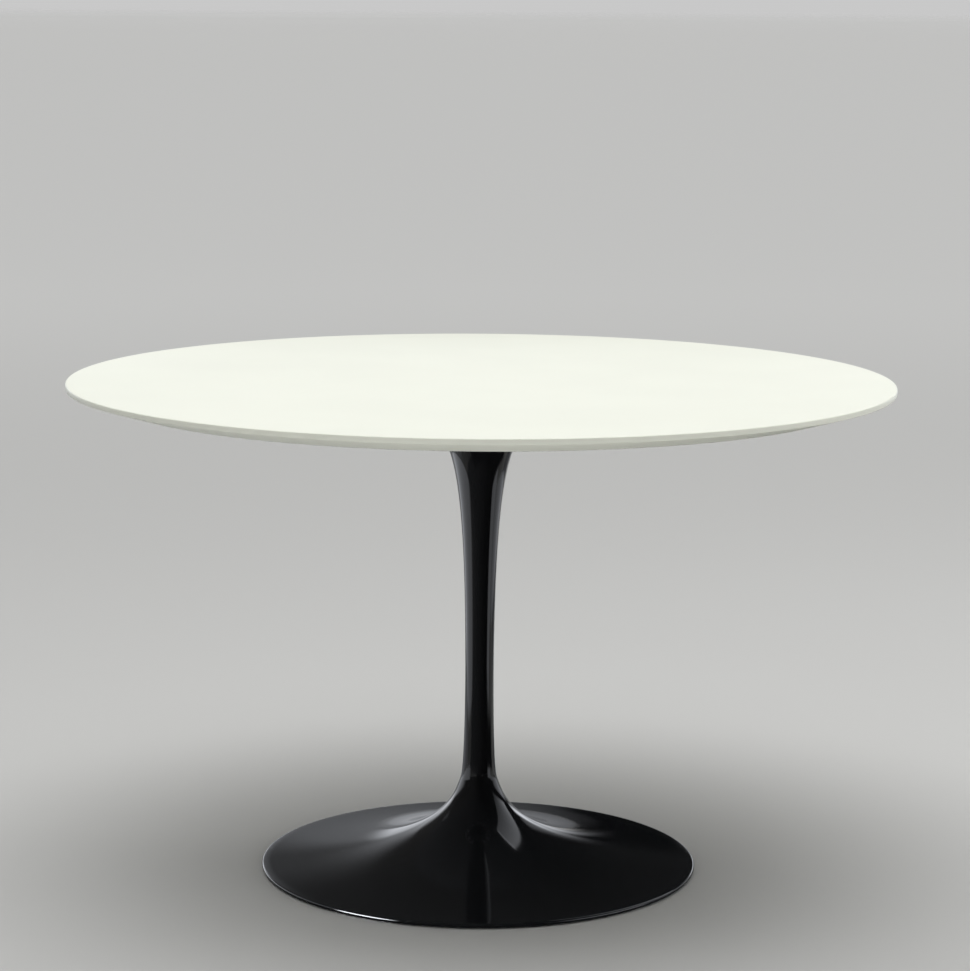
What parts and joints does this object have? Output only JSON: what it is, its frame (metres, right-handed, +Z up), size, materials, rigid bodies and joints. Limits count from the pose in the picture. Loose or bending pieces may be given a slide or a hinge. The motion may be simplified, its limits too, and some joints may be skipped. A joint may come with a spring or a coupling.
{
  "type": "round pedestal table",
  "caption": "Round dining table: a thin bevel-edged top held by one slim cast pedestal that spreads into a wide trumpet foot.",
  "frame": {"origin": "on the floor under the middle of the table", "axes": "+Z up along the pedestal's own axis, through the middle of the round top; +X and +Y run along the floor, with +X through one locating dowel"},
  "size_m": [1.1848, 1.185, 0.72],
  "materials": {
    "white_laminate": "fine satin high-pressure laminate",
    "white_edging": "satin, upper corner rounded",
    "lacquered_board": "dense fibreboard, white lacquer on the bevel",
    "backing_laminate": "plain balancing laminate",
    "brass_insert": "machined, knurled",
    "cast_aluminium": "sand cast, machined faces",
    "machined_steel": "turned",
    "zinc_fastener": "bright zinc plate",
    "gasket_rubber": "plain",
    "black_lacquer": "cast aluminium under gloss black lacquer",
    "glide_plastic": "plain moulded"
  },
  "bodies": {
    "root": {"top_core": "lacquered_board", "top_laminate": "white_laminate", "edge_band": "white_edging", "backing_sheet": "backing_laminate", "threaded_inserts": "brass_insert", "mounting_spider": "cast_aluminium", "hub_bushing": "machined_steel", "spider_screws": "zinc_fastener", "spider_washers": "zinc_fastener", "flange_gasket": "gasket_rubber", "locating_dowels": "machined_steel", "pedestal": "black_lacquer", "tie_rod": "zinc_fastener", "rod_lock_nut": "zinc_fastener", "clamp_washer": "zinc_fastener", "spring_washer": "machined_steel", "clamp_nut": "zinc_fastener", "glide_ring": "glide_plastic"}
  },
  "joints": []
}
